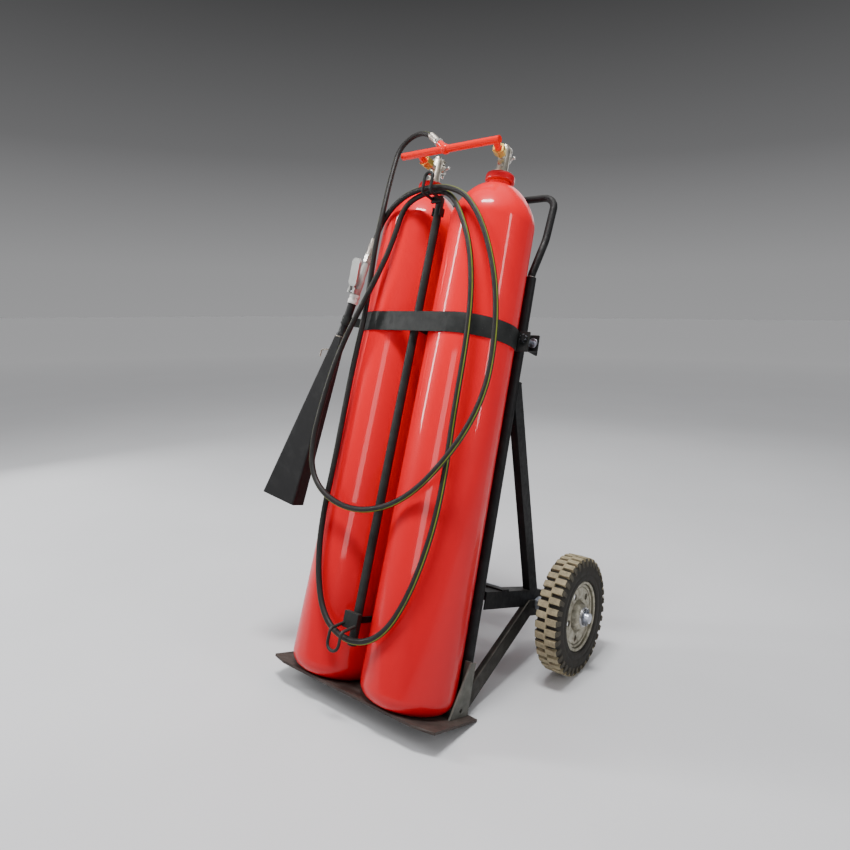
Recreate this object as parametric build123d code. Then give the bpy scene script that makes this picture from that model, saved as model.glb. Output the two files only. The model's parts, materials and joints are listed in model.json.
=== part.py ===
from build123d import *
import os
from math import cos, degrees, pi, radians, sin, sqrt, tan

# Wheeled carbon-dioxide fire extinguisher: two tall cylinders strapped side by side on a two-wheeled trolley,
# a manifold on their valves, and one hose wound over two hooks to a discharge valve and horn.
#
# Every piece is drawn in the trolley's own upright frame: X to the right, Y backwards, Z up along the cylinders,
# with zero on the top of the toe plate, midway between the cylinders. The last step leans the whole trolley back
# until it rests on the rear edge of its toe plate and on both wheels, and sets it on the ground, Z = 0.

# ---------------------------------------------------------------- driving dimensions, millimetres and degrees

LEAN = 17.465

CYL_R = 109.5            # standard seamless bottle, 219 mm outside
CYL_X = 112.4            # each cylinder's axis from the middle
CYL_WALL = 6.0
CYL_BASE_R = 34.7        # rounding of the base
CYL_STRAIGHT = 1147.0    # where the shoulder starts
SHOULDER_TOP = 1252.6
SHOULDER_R = 35.0
NECK_R = 29.0
NECK_TOP = 1288.0
NECK_BORE_R = 14.0
RING_R = 38.5
RING_Z = 1267.0
RING_H = 20.0

PLATE_HALF = 250.0
PLATE_FRONT = -91.0
PLATE_REAR = 88.0
PLATE_T = 6.0

RAIL_R = 13.5
RAIL_X = 201.0
RAIL_Y = 87.0
RAIL_TOP = 1035.0
HANDLE_R = 10.0
HANDLE_Y = 148.0
HANDLE_TOP = 1289.0

WHEEL_R = 143.5
WHEEL_Y = 361.0
WHEEL_OUTER = 345.7      # outer face of the tyre
TYRE_W = 63.0
RIM_R = 82.0
AXLE_R = 12.5
AXLE_HALF = 364.0
SPLIT_PIN_X = 357.4
RUNNING = 0.05           # radial clearance of the wheel bearings on the axle

GUSSET_X = 222.5         # inner face of the toe plate's end gussets
SIDE_X = 215.0           # outer face of the side frames
ANGLE_W = 38.0           # leg of the angle iron
ANGLE_T = 4.0
BRACE_FLANGE = 20.0      # inward leg of the rear braces
STRUT_Z = 222.0          # underside of the horizontal struts

BAR_Y = -88.0            # hose bar
BAR_R = 10.65
BAR_BOTTOM = 95.0
BAR_TOP = 1196.0
TIE_T = 4.0              # tie plates in the gap between the cylinders
SADDLE_Z = (132.0, 480.0, 838.0)
SADDLE_REAR = 116.5

STRAP_Z = 833.0
STRAP_H = 50.0
STRAP_T = 3.0
STRAP_END_Y = 58.0
BOLT_X = 229.0
BOLT_Z = 866.0

MANIFOLD_Y = -80.0
MANIFOLD_Z = 1346.0
MANIFOLD_R = 10.0
OUTLET_Z = 1339.0
VALVE_TURN = {"left": 0.0, "right": 15.0}
BRANCH_X = -24.0
BRANCH_RISE = 40.0       # the branch leaves the manifold up and to the left

HOSE_R = 7.0
FERRULE_R = 9.7
HOSE_START = 50.0        # along the branch
FERRULE_END = 78.0

GUN_NECK = (-239.0, -102.0, 812.0)   # where the horn meets its neck
GUN_TILT = 10.2                      # the discharge valve and horn lean outwards at the bottom
HORN_LEN = 450.0
HORN_TURN = 13.0                     # the horn's wide face is turned this far from the front
LEVER_PIVOT = (-17.0, 126.0)         # x and z along the discharge valve, whose lever faces -x
LEVER_LEN = 90.0
LEVER_OPEN = 12.0                    # the lever stands off the valve's axis by this angle at rest
PLUNGER_Z = 142.0

SIDES = {"left": -1, "right": 1}

# The ground passes under the rear edge of the toe plate; the wheels are set to touch it too.
GROUND_DROP = PLATE_REAR * sin(radians(LEAN)) + PLATE_T * cos(radians(LEAN))
WHEEL_Z = (WHEEL_R - GROUND_DROP + WHEEL_Y * sin(radians(LEAN))) / cos(radians(LEAN))

NODES = {}


# ---------------------------------------------------------------- small helpers

def keep(name, *solids):
    """Add solids to the node of this name."""
    NODES.setdefault(name, []).extend(solids)


def block(x0, x1, y0, y1, z0, z1):
    return Pos((x0 + x1) / 2, (y0 + y1) / 2, (z0 + z1) / 2) * Box(abs(x1 - x0), abs(y1 - y0), abs(z1 - z0))


def rod(start, end, r, bore=0.0):
    """Straight round bar or tube from one point to another."""
    line = Vector(*end) - Vector(*start)
    section = Circle(r) if bore == 0 else Circle(r) - Circle(bore)
    return extrude(Plane(origin=start, z_dir=line) * section, amount=line.length)


def hexagon(start, end, across_flats, bore=0.0):
    line = Vector(*end) - Vector(*start)
    section = RegularPolygon(across_flats / 2, 6, major_radius=False)
    if bore:
        section = section - Circle(bore)
    return extrude(Plane(origin=start, z_dir=line) * section, amount=line.length)


def bent(points, radii, r, bore=0.0):
    """Bent round bar or tube: straight runs joined by tangent arcs."""
    path = FilletPolyline(*points, radius=radii)
    section = Circle(r) if bore == 0 else Circle(r) - Circle(bore)
    return sweep(Plane(origin=path @ 0, z_dir=path % 0) * section, path=path)


def turned(profile, axis=Axis.Z):
    """Solid of revolution from (radius, height) points."""
    return revolve(Plane.XZ * make_face(Polyline(*profile, close=True)), axis)


def angle_iron(start, end, leg_dir, side, face_x, flange):
    """Angle iron between two points of a side frame (y, z): one leg in the plane x = face_x, one inwards.

    The line joins the outer corners of the angle; leg_dir is +1 or -1 for the side on which the leg lies.
    """
    along = Vector(0, end[0] - start[0], end[1] - start[1])
    across = Vector(0, -along.Z, along.Y).normalized() * leg_dir
    plane = Plane(origin=(side * face_x, start[0], start[1]), x_dir=Vector(-side, 0, 0), z_dir=along)
    up = 1 if plane.y_dir.dot(across) > 0 else -1
    section = Polyline(
        (0, 0), (flange, 0), (flange, up * ANGLE_T), (ANGLE_T, up * ANGLE_T), (ANGLE_T, up * ANGLE_W),
        (0, up * ANGLE_W), close=True)
    return extrude(plane * make_face(section), amount=along.length)


# ---------------------------------------------------------------- trolley

def toe_plate():
    outline = Polyline(
        (-PLATE_HALF, PLATE_REAR), (PLATE_HALF, PLATE_REAR), (PLATE_HALF, PLATE_FRONT + 16),
        (PLATE_HALF - 50, PLATE_FRONT), (50 - PLATE_HALF, PLATE_FRONT), (-PLATE_HALF, PLATE_FRONT + 16), close=True)
    keep("toe_plate", extrude(make_face(outline), amount=-PLATE_T))


def gussets():
    """Tapered plates at the ends of the toe plate, each with a folded edge welded to its rail."""
    outline = Polyline((10, 0), (82, 0), (82, 111), (62, 111), close=True)
    plate = extrude(Plane.YZ * make_face(outline), amount=5) - Pos(0, 50, 14) * Rot(0, 90, 0) * Cylinder(5, 20)
    for sign in SIDES.values():
        x = GUSSET_X if sign > 0 else -GUSSET_X - 5
        fold = block(sign * (RAIL_X + 3), sign * GUSSET_X, 71, 75, 0, 111)
        rail = rod((sign * RAIL_X, RAIL_Y, -1), (sign * RAIL_X, RAIL_Y, 120), RAIL_R)
        keep("side_gussets", Pos(x, 0, 0) * plate + fold - rail)


def rails():
    for side, sign in SIDES.items():
        keep(f"rail_{side}", rod((sign * RAIL_X, RAIL_Y, 0), (sign * RAIL_X, RAIL_Y, RAIL_TOP), RAIL_R, HANDLE_R))


def push_handle():
    """One bent tube whose ends are pushed 50 mm into the rails."""
    right = [(RAIL_X, RAIL_Y, RAIL_TOP - 50), (RAIL_X, RAIL_Y, RAIL_TOP + 8),
             (RAIL_X, HANDLE_Y - 18, 1156), (RAIL_X, HANDLE_Y, HANDLE_TOP)]
    left = [(-x, y, z) for x, y, z in reversed(right)]
    keep("push_handle", bent(right + left, [45, 150, 38, 38, 150, 45], HANDLE_R, HANDLE_R - 2))


def side_frames():
    """Struts, rear braces and lower braces that carry the axle behind the rails."""
    axle_hole = Pos(0, WHEEL_Y, WHEEL_Z) * Rot(0, 90, 0) * Cylinder(AXLE_R, 2 * AXLE_HALF)
    rail_back = RAIL_Y + RAIL_R
    strut_top = STRUT_Z + 40
    behind = block(-300, 300, RAIL_Y + 3, 500, strut_top, 764)
    for side, sign in SIDES.items():
        inner = sign * (SIDE_X - ANGLE_W)
        outer = sign * SIDE_X
        leg = block(outer - sign * ANGLE_T, outer, rail_back, WHEEL_Y + 26, STRUT_Z, strut_top)
        top = block(inner, outer, rail_back, WHEEL_Y + 26, strut_top - ANGLE_T, strut_top)
        keep(f"side_strut_{side}", leg + top - axle_hole)
        rail = rod((sign * RAIL_X, RAIL_Y, -20), (sign * RAIL_X, RAIL_Y, RAIL_TOP), RAIL_R)
        pad = block(sign * (RAIL_X - 10), outer, rail_back, rail_back + 3, 712, 764)
        keep("brace_brackets", pad)
        brace = angle_iron((58, 764), (344, 201), 1, sign, SIDE_X, BRACE_FLANGE)
        keep(f"rear_brace_{side}", (brace & behind) - rail - pad)
        plate = block(outer - sign * (ANGLE_T + 6), outer - sign * ANGLE_T, WHEEL_Y - 30, WHEEL_Y + 26,
                      WHEEL_Z - 34, strut_top - ANGLE_T)
        keep("axle_plates", plate - axle_hole)
        lower = angle_iron((80, -2), (WHEEL_Y + 10, 234), 1, sign, SIDE_X + ANGLE_T, ANGLE_W)
        beside = block(outer, outer + sign * ANGLE_T, 83, 500, 0, STRUT_Z + 16)
        under = block(inner - sign * 9, outer, 83, 500, 0, STRUT_Z)
        keep(f"lower_brace_{side}", (lower & (beside + under)) - axle_hole - rail - plate)


def cross_member():
    shelf = block(-SIDE_X, SIDE_X, 170, 204, STRUT_Z + 40, STRUT_Z + 44)
    web = block(-SIDE_X + ANGLE_W, SIDE_X - ANGLE_W, 170, 174, STRUT_Z + 8, STRUT_Z + 40)
    keep("cross_member", shelf + web)


def saddle_bars():
    """Three bars between the rails, hollowed to seat the cylinders."""
    cut = [Pos(sign * CYL_X, 0, 600) * Cylinder(CYL_R + 0.2, 1300) for sign in SIDES.values()]
    cut += [Pos(sign * RAIL_X, RAIL_Y, 600) * Cylinder(RAIL_R, 1300) for sign in SIDES.values()]
    for z in SADDLE_Z:
        bar = block(-RAIL_X + 9, RAIL_X - 9, RAIL_Y + 5, SADDLE_REAR, z, z + 40)
        keep("saddle_bars", bar - cut[0] - cut[1] - cut[2] - cut[3])


def axle():
    shaft = rod((-AXLE_HALF, WHEEL_Y, WHEEL_Z), (AXLE_HALF, WHEEL_Y, WHEEL_Z), AXLE_R)
    for sign in SIDES.values():
        pin_x = sign * SPLIT_PIN_X
        shaft -= rod((pin_x, WHEEL_Y, WHEEL_Z - 20), (pin_x, WHEEL_Y, WHEEL_Z + 20), 2.5)
    keep("axle", shaft)
    for sign in SIDES.values():
        def on_axle(x0, x1, r):
            return rod((sign * x0, WHEEL_Y, WHEEL_Z), (sign * x1, WHEEL_Y, WHEEL_Z), r, AXLE_R)
        keep("axle_spacers", on_axle(SIDE_X + ANGLE_T + 0.3, WHEEL_OUTER - TYRE_W - 1.5, 17))
        keep("axle_retainers", on_axle(WHEEL_OUTER + 4.6, WHEEL_OUTER + 7.6, 20))
        pin_x = sign * SPLIT_PIN_X
        pin = rod((pin_x, WHEEL_Y, WHEEL_Z - 19), (pin_x, WHEEL_Y, WHEEL_Z + 17), 2.5)
        keep("axle_retainers", pin + Pos(pin_x, WHEEL_Y, WHEEL_Z + 18) * Sphere(3.4))


# ---------------------------------------------------------------- wheels

def wheel(side, sign):
    """Tyre, rim, hub and bearings, turned about Z and then laid along the axle, outer face outwards."""
    half = TYRE_W / 2
    tyre = turned([(RIM_R, -22), (RIM_R + 3.6, -25.8), (RIM_R + 6, -half + 1), (RIM_R + 22, -half), (WHEEL_R - 18, -half),
                   (WHEEL_R - 3, -half + 6), (WHEEL_R, -half + 12), (WHEEL_R, half - 12), (WHEEL_R - 3, half - 6),
                   (WHEEL_R - 18, half), (RIM_R + 22, half), (RIM_R + 6, half - 1), (RIM_R + 3.6, 25.8), (RIM_R, 22)])
    barrel = turned([(RIM_R - 4, -25), (RIM_R + 1, -27), (RIM_R + 3, -25.5), (RIM_R, -22), (RIM_R, 22),
                     (RIM_R + 3, 25.5), (RIM_R + 1, 27), (RIM_R - 4, 25)])
    dish = turned([(24, 8), (34, 8), (44, 15), (66, 15), (RIM_R - 4, 4), (RIM_R - 4, 8), (68, 19), (42, 19),
                   (32, 12), (24, 12)])
    holes = PolarLocations(55, 5) * Cylinder(8, 80)
    rim = barrel + dish
    for hole in holes:
        rim = rim - hole
    hub = turned([(20, -half - 1), (24, -half - 1), (24, half + 4), (20, half + 4), (20, half - 8), (17, half - 8),
                  (17, -half + 11), (20, -half + 11)])
    inner_bearing = Pos(0, 0, -half + 5) * (Cylinder(20, 12) - Cylinder(AXLE_R + RUNNING, 12))
    outer_bearing = Pos(0, 0, half - 2) * (Cylinder(20, 12) - Cylinder(AXLE_R + RUNNING, 12))
    place = Pos(sign * (WHEEL_OUTER - half), WHEEL_Y, WHEEL_Z) * Rot(0, sign * 90, 0)
    keep(f"tyre_{side}", place * tyre)
    keep(f"rim_{side}", place * rim)
    keep(f"hub_{side}", place * hub)
    keep(f"bearings_{side}", place * inner_bearing, place * outer_bearing)


# ---------------------------------------------------------------- cylinders and their valves

def bottle():
    """Outside and inside of one cylinder as solids of revolution."""
    inner_r = CYL_R - CYL_WALL
    outer = [
        Line((0, 0), (CYL_R - CYL_BASE_R, 0)),
        RadiusArc((CYL_R - CYL_BASE_R, 0), (CYL_R, CYL_BASE_R), -CYL_BASE_R),
        Line((CYL_R, CYL_BASE_R), (CYL_R, CYL_STRAIGHT)),
        Bezier((CYL_R, CYL_STRAIGHT), (CYL_R, CYL_STRAIGHT + 41), (SHOULDER_R + 27, SHOULDER_TOP),
               (SHOULDER_R, SHOULDER_TOP)),
        Polyline((SHOULDER_R, SHOULDER_TOP), (NECK_R, SHOULDER_TOP + 6), (NECK_R, NECK_TOP), (0, NECK_TOP),
                 (0, 0))]
    inner = [
        Line((0, 9), (inner_r - CYL_BASE_R, 9)),
        RadiusArc((inner_r - CYL_BASE_R, 9), (inner_r, 9 + CYL_BASE_R), -CYL_BASE_R),
        Line((inner_r, 9 + CYL_BASE_R), (inner_r, CYL_STRAIGHT)),
        Bezier((inner_r, CYL_STRAIGHT), (inner_r, CYL_STRAIGHT + 36), (NECK_BORE_R + 34, SHOULDER_TOP - 10),
               (NECK_BORE_R, SHOULDER_TOP - 10)),
        Polyline((NECK_BORE_R, SHOULDER_TOP - 10), (NECK_BORE_R, NECK_TOP), (0, NECK_TOP), (0, 9))]
    shapes = [revolve(Plane.XZ * make_face(Wire([e for c in curves for e in c.edges()])), Axis.Z)
              for curves in (outer, inner)]
    return shapes[0] - shapes[1]


def cylinder_and_valve(side, sign):
    """One cylinder with its neck ring, dip tube, valve, bursting-disc plug and union nut."""
    at = Pos(sign * CYL_X, 0, 0)
    turned_at = at * Rot(0, 0, VALVE_TURN[side])
    keep(f"cylinder_{side}", at * bottle())
    ring = fillet(Cylinder(RING_R, RING_H).edges().filter_by(GeomType.CIRCLE), 5)
    ring = Pos(0, 0, RING_Z + RING_H / 2) * (ring - Cylinder(NECK_R, RING_H))
    keep("neck_rings", at * ring)
    keep("dip_tubes", at * rod((0, 0, 22), (0, 0, NECK_TOP - 34), 6, 4.5))

    body = turned([(0, NECK_TOP - 34), (NECK_BORE_R, NECK_TOP - 34), (NECK_BORE_R, NECK_TOP), (20, NECK_TOP),
                   (20, NECK_TOP + 12), (15.5, NECK_TOP + 15), (15.5, 1364), (12, 1370), (9, 1370), (9, 1376),
                   (0, 1376)])
    body += rod((0, 0, OUTLET_Z), (0, -43, OUTLET_Z), 9)
    body += rod((0, 0, 1350), (0, 21, 1350), 11)
    keep(f"valve_body_{side}", turned_at * body)
    plug = rod((0, -15.2, 1316), (0, -19, 1316), 8) + hexagon((0, -19, 1316), (0, -25, 1316), 13)
    keep("burst_plugs", turned_at * (plug - rod((0, 0, 1290), (0, 0, 1340), 15.5)))
    keep("union_nuts", turned_at * (hexagon((0, -31, OUTLET_Z), (0, -57, OUTLET_Z), 29, 9)))
    knob(side, turned_at)


def knob(side, at):
    """Wing knob with three lobes on a spindle that turns in a yoke behind the valve."""
    y0, y1 = 30.0, 39.0
    yoke = block(-11, 11, 21, 26, 1338, 1376) + block(-11, 11, 12, 21, 1372, 1376)
    yoke -= rod((0, 10, 1350), (0, 40, 1350), 4.05)
    spindle_seat = rod((0, 10, 1350), (0, 26, 1350), 4.05)
    body = NODES[f"valve_body_{side}"].pop()
    keep(f"valve_body_{side}", body - at * spindle_seat)
    keep("valve_yokes", at * (yoke - turned([(0, 1300), (15.5, 1300), (15.5, 1364), (12, 1370), (0, 1370)])))
    wing = rod((0, y0, 1350), (0, y1, 1350), 8)
    for turn in (30, 150, 270):
        c, s = cos(radians(turn)), sin(radians(turn))
        wing += rod((0, (y0 + y1) / 2, 1350), (18 * c, (y0 + y1) / 2, 1350 + 18 * s), 3.6)
        wing += Pos(18 * c, (y0 + y1) / 2, 1350 + 18 * s) * Sphere(4.5)
    spindle = rod((0, 12, 1350), (0, y0, 1350), 4)
    keep(f"valve_knob_{side}", at * wing, at * spindle)


def manifold():
    """Red pipe in front of the valves, with a stub to each valve and the branch to the hose."""
    pipe = rod((-172, MANIFOLD_Y, MANIFOLD_Z), (145, MANIFOLD_Y, MANIFOLD_Z), MANIFOLD_R)
    for side, sign in SIDES.items():
        turn = radians(VALVE_TURN[side])
        nose = (sign * CYL_X + 43 * sin(turn), -43 * cos(turn), OUTLET_Z)
        nut_end = (sign * CYL_X + 60 * sin(turn), -60 * cos(turn), OUTLET_Z)
        pipe_x = sign * CYL_X - MANIFOLD_Y * tan(turn)
        pipe += rod(nose, nut_end, 9) + Pos(*nut_end) * Sphere(9)
        pipe += rod(nut_end, (pipe_x, MANIFOLD_Y, MANIFOLD_Z), 9)
    pipe += Pos(BRANCH_X, MANIFOLD_Y, MANIFOLD_Z) * Sphere(14)
    pipe += rod(branch_point(0), branch_point(31), 10)
    keep("manifold", pipe)
    keep("hose_unions", hexagon(branch_point(31), branch_point(44), 21, 5))
    keep("hose_ferrules", rod(branch_point(44), branch_point(HOSE_START), FERRULE_R, 5)
         + rod(branch_point(HOSE_START), branch_point(FERRULE_END), FERRULE_R, HOSE_R))


def branch_point(distance):
    """Point on the axis of the manifold's branch."""
    rise = radians(BRANCH_RISE)
    return (BRANCH_X - distance * cos(rise), MANIFOLD_Y, MANIFOLD_Z + distance * sin(rise))


# ---------------------------------------------------------------- clamp strap

def clamp_strap():
    """Flat band across both cylinders; its ends turn out and are bolted to lugs on the rails."""
    def outline(r):
        face = Rectangle(2 * CYL_X, 2 * r)
        for sign in SIDES.values():
            face += Pos(sign * CYL_X, 0) * Circle(r)
        return face
    front = Pos(0, STRAP_END_Y - 300) * Rectangle(700, 600)
    band = (outline(CYL_R + STRAP_T) - outline(CYL_R)) & front
    strap = Pos(0, 0, STRAP_Z) * extrude(band, amount=STRAP_H)
    for sign in SIDES.values():
        reach = CYL_X + sqrt((CYL_R + STRAP_T) ** 2 - STRAP_END_Y ** 2)
        ear = block(sign * (reach - 2.5), sign * 243, STRAP_END_Y - 4, STRAP_END_Y, STRAP_Z, STRAP_Z + STRAP_H)
        inside = Pos(sign * CYL_X, 0, STRAP_Z) * Cylinder(CYL_R, 300)
        strap += ear - inside
    for sign in SIDES.values():
        strap -= rod((sign * BOLT_X, STRAP_END_Y - 10, BOLT_Z), (sign * BOLT_X, STRAP_END_Y + 10, BOLT_Z), 5)
    keep("clamp_strap", strap)
    for side, sign in SIDES.items():
        web = block(sign * (RAIL_X + RAIL_R), sign * (RAIL_X + RAIL_R + 5), 72, 148, BOLT_Z - 21, BOLT_Z + 21)
        flange = block(sign * (RAIL_X + RAIL_R), sign * 243, 100, 105, BOLT_Z - 21, BOLT_Z + 21)
        hole = rod((sign * BOLT_X, 90, BOLT_Z), (sign * BOLT_X, 120, BOLT_Z), 5)
        keep("strap_lugs", web + flange - hole)
        bolt = hexagon((sign * BOLT_X, STRAP_END_Y - 11, BOLT_Z), (sign * BOLT_X, STRAP_END_Y - 4, BOLT_Z), 17)
        bolt += rod((sign * BOLT_X, STRAP_END_Y - 4, BOLT_Z), (sign * BOLT_X, 124, BOLT_Z), 5)
        keep("strap_fasteners", bolt)
        keep("strap_fasteners", hexagon((sign * BOLT_X, 105, BOLT_Z), (sign * BOLT_X, 114, BOLT_Z), 17, 5))


# ---------------------------------------------------------------- hose bar and hooks

def hose_bar():
    front = BAR_Y - BAR_R
    keep("hose_bar", rod((0, BAR_Y, BAR_BOTTOM), (0, BAR_Y, BAR_TOP), BAR_R, BAR_R - 2.6))
    for z, height in ((SADDLE_Z[0] + 10, 14), (SADDLE_Z[2] + 5, 30)):
        keep("tie_plates", block(-TIE_T / 2, TIE_T / 2, BAR_Y + sqrt(BAR_R ** 2 - (TIE_T / 2) ** 2) + 0.3,
                                 RAIL_Y + 5, z, z + height))
    for sign in SIDES.values():
        keep("bar_clips", block(sign * BAR_R, sign * (BAR_R + 2.5), BAR_Y - 9, BAR_Y + 9, 1146, 1168))
    keep("hook_blocks", block(-21, 21, front - 13, front, 132, 168))
    keep("hook_blocks", block(-17, 17, front - 6, front, 1178, 1196))
    low = front - 13
    bottom = [(-17, low, 141), (-17, -152, 131), (-17, -153, 89), (17, -153, 89), (17, -152, 131), (17, low, 141)]
    keep("bottom_hook", bent(bottom, [9, 16, 16, 9], 3.5) - NODES["hook_blocks"][0])
    high = front - 6
    top = [(-12.6, high, 1187), (-12.6, -151, 1187), (-12.6, -151, 1239), (12.6, -151, 1239), (12.6, -151, 1187),
           (12.6, high, 1187)]
    keep("top_hook", bent(top, [9, 12, 12, 9], 4))


# ---------------------------------------------------------------- discharge valve and horn

GUN = Pos(*GUN_NECK) * Rot(0, GUN_TILT, 0)
GRIP = GUN * Rot(0, 0, 90)           # the lever's own frame: it stands off the valve towards -x, the front


def gun_point(x, y, z):
    """Point of the discharge valve's own frame, z up along its axis, in the trolley's frame."""
    return (GUN * Pos(x, y, z)).position


def horn():
    """Flared rectangular horn, open at the mouth and through its throat."""
    def ring(z, half_w, half_d, corner):
        return Pos(0, 0, z) * RectangleRounded(2 * half_w, 2 * half_d, corner)
    outside = loft([ring(0, 12.5, 12.5, 5), ring(-HORN_LEN, 52, 26, 6)])
    inside = loft([ring(0, 9.5, 9.5, 3.5), ring(-HORN_LEN, 49.5, 23.5, 4.5)])
    keep("horn", GUN * Rot(0, 0, HORN_TURN) * (outside - inside))
    wire = [(-13.5, 0, -58), (-23, 0, -40), (-56, 0, -47), (-51, 0, -66)]
    keep("horn_wire_hook", GUN * bent(wire, [7, 9], 2) - GUN * Rot(0, 0, HORN_TURN) * outside)


def discharge_valve():
    keep("horn_neck", GUN * turned([(6, 0), (13.5, 0), (13.5, 8), (11, 10), (11, 92), (12.5, 95), (6, 95)]))
    keep("neck_collar", GUN * turned([(6, 95), (13.5, 95), (14.5, 98), (14.5, 106), (13, 108), (13, 111),
                                      (14.5, 113), (14.5, 118), (13, 121), (6, 121)]))
    body = turned([(0, 121), (12, 121), (12, 162), (10, 167), (10, 202), (9, 206), (9, 214), (0, 214)])
    body -= rod((0, 0, 121), (0, 0, 200), 6)
    px, pz = LEVER_PIVOT
    ears = block(px - 5, -6, -12.5, -8.5, pz - 4.7, pz + 10) + block(px - 5, -6, 8.5, 12.5, pz - 4.7, pz + 10)
    guide = rod((-20, 0, PLUNGER_Z), (0, 0, PLUNGER_Z), 3.04)
    body = body + (ears - turned([(0, 100), (11.9, 100), (11.9, 200), (0, 200)])) - guide
    body -= rod((px, -20, pz), (px, 20, pz), 2.5)
    keep("discharge_body", GRIP * body)
    keep("lever_pin", GRIP * rod((px, -13.5, pz), (px, 13.5, pz), 2.5))
    keep("hose_unions", GUN * (hexagon((0, 0, 214), (0, 0, 236), 20, 5)))
    keep("hose_ferrules", GUN * (rod((0, 0, 236), (0, 0, 250), FERRULE_R, 5)
                                 + rod((0, 0, 250), (0, 0, 282), FERRULE_R, HOSE_R)))
    keep("discharge_plunger", GRIP * rod((-22, 0, PLUNGER_Z), (-6.5, 0, PLUNGER_Z), 3))


def lever():
    """Paddle-shaped squeeze lever, a shallow tray on two cheeks that are pinned to the valve body."""
    px, pz = LEVER_PIVOT
    height = LEVER_LEN - 14
    middle = 14 + height / 2
    shape = Pos(-4.4, 0, middle) * extrude(Plane.YZ * RectangleRounded(30, height, 13), amount=7.4)
    shape -= Pos(-2.4, 0, middle) * extrude(Plane.YZ * RectangleRounded(26, height - 4, 11), amount=6)
    shape -= block(-2.4, 5, -5, 5, 10, 30)
    for sign in SIDES.values():
        shape += block(-4.4, 4.4, sign * 5.8, sign * 8.2, -4.4, 40)
    shape -= rod((0, -20, 0), (0, 20, 0), 2.5 + RUNNING)
    keep("discharge_lever", GRIP * Pos(px, 0, pz) * Rot(0, -LEVER_OPEN, 0) * shape)


def holder():
    """Arm welded to the strap's left flank, with a spring clip round the horn's neck."""
    z = STRAP_Z + 13
    along = (z + 12 - GUN_NECK[2]) / cos(radians(GUN_TILT))
    neck = gun_point(0, 0, along)
    out = Vector(neck.X + CYL_X, neck.Y, 0)
    unit = out.normalized()
    start = Vector(-CYL_X, 0, z + 12) + unit * (CYL_R + STRAP_T)
    plane = Plane(origin=start, x_dir=Vector(-unit.Y, unit.X, 0), z_dir=unit)
    arm = extrude(plane * Rectangle(4, 24), amount=out.length - CYL_R - STRAP_T - 12)
    strap_face = Pos(-CYL_X, 0, 850) * Cylinder(CYL_R + STRAP_T, 200)
    clip = Circle(14.2) - Circle(11.2)
    mouth = Pos(15, 0) * Rectangle(20, 15)
    turn = degrees(Vector(1, 0, 0).get_signed_angle(unit, Vector(0, 0, 1)) * pi / 180)
    ring = extrude(Rot(0, 0, turn) * (clip - mouth), amount=24)
    at = Pos(*gun_point(0, 0, along - 12)) * Rot(0, GUN_TILT, 0)
    hole = at * Pos(0, 0, -30) * extrude(Circle(11.2), amount=84)
    keep("horn_holder", arm + at * ring - strap_face - hole)


# ---------------------------------------------------------------- hose

# Supply end down the left, under the bottom hook, up the right, over the top hook, round the small loop, over the
# top hook again and down to the discharge valve.
HOSE_MIDDLE = [
    (-152, -82, 1406), (-185, -88, 1366), (-180, -99, 1304), (-168, -115, 1226), (-154, -130, 1150),
    (-153, -133, 1062), (-148, -128, 962), (-145, -124, 862), (-150, -122, 745), (-148, -121, 610),
    (-144, -121, 490), (-145, -121, 382), (-137, -121, 292), (-116, -121, 217), (-86, -122, 157),
    (-44, -123, 112), (14, -125, 97), (70, -124, 114), (117, -122, 163), (151, -122, 231), (174, -122, 310),
    (189, -121, 405), (192, -121, 520), (186, -121, 640), (186, -122, 760), (182, -123, 870), (166, -123, 972),
    (136, -121, 1066), (95, -120, 1142), (58, -117, 1195), (19, -114, 1220), (-27, -114, 1220), (-67, -117, 1198),
    (-92, -122, 1158), (-96, -127, 1085), (-109, -135, 1000), (-139, -145, 895), (-168, -149, 812),
    (-192, -149, 718), (-206, -147, 612), (-211, -145, 525), (-190, -145, 452), (-130, -145, 405),
    (-45, -135, 386), (42, -127, 406), (118, -128, 453), (189, -142, 523), (236, -134, 607), (256, -118, 700),
    (253, -110, 795), (243, -110, 886), (221, -115, 983), (174, -121, 1094), (120, -129, 1169),
    (70, -132, 1208), (22, -133, 1223), (-29, -133, 1223), (-85, -130, 1206), (-141, -117, 1169)]


def hose_points():
    start = [branch_point(HOSE_START), branch_point(100)]
    end = [tuple(gun_point(0, 0, 312)), tuple(gun_point(0, 0, 250))]
    return [Vector(*p) for p in start + HOSE_MIDDLE + end]


def hose():
    points = hose_points()
    radii = []
    for before, here, after in zip(points, points[1:], points[2:]):
        first, second = here - before, after - here
        turn = radians(first.get_angle(second))
        shorter, longer = sorted((first.length, second.length))
        radii.append(0.45 * shorter / tan(turn / 2))
        print(f"hose {here.X:6.0f}{here.Y:6.0f}{here.Z:6.0f}  runs {first.length:5.0f}{second.length:5.0f}"
              f"  turn {degrees(turn):5.1f}  radius {radii[-1]:6.0f}{'  <' if radii[-1] < 10 * HOSE_R else ''}"
              f"{'  ratio' if longer > 2 * shorter else ''}")
    path = FilletPolyline(*points, radius=radii)
    solid = sweep(Plane(origin=path @ 0, z_dir=path % 0) * Circle(HOSE_R), path=path)
    print(f"hose length {path.length:.0f}, volume over section times length "
          f"{solid.volume / (pi * HOSE_R ** 2 * path.length):.5f}")
    keep("hose", solid)


# ---------------------------------------------------------------- assembly

def build():
    toe_plate()
    gussets()
    rails()
    push_handle()
    side_frames()
    cross_member()
    saddle_bars()
    axle()
    for side, sign in SIDES.items():
        wheel(side, sign)
        cylinder_and_valve(side, sign)
    manifold()
    clamp_strap()
    hose_bar()
    horn()
    discharge_valve()
    lever()
    holder()
    hose()


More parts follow.
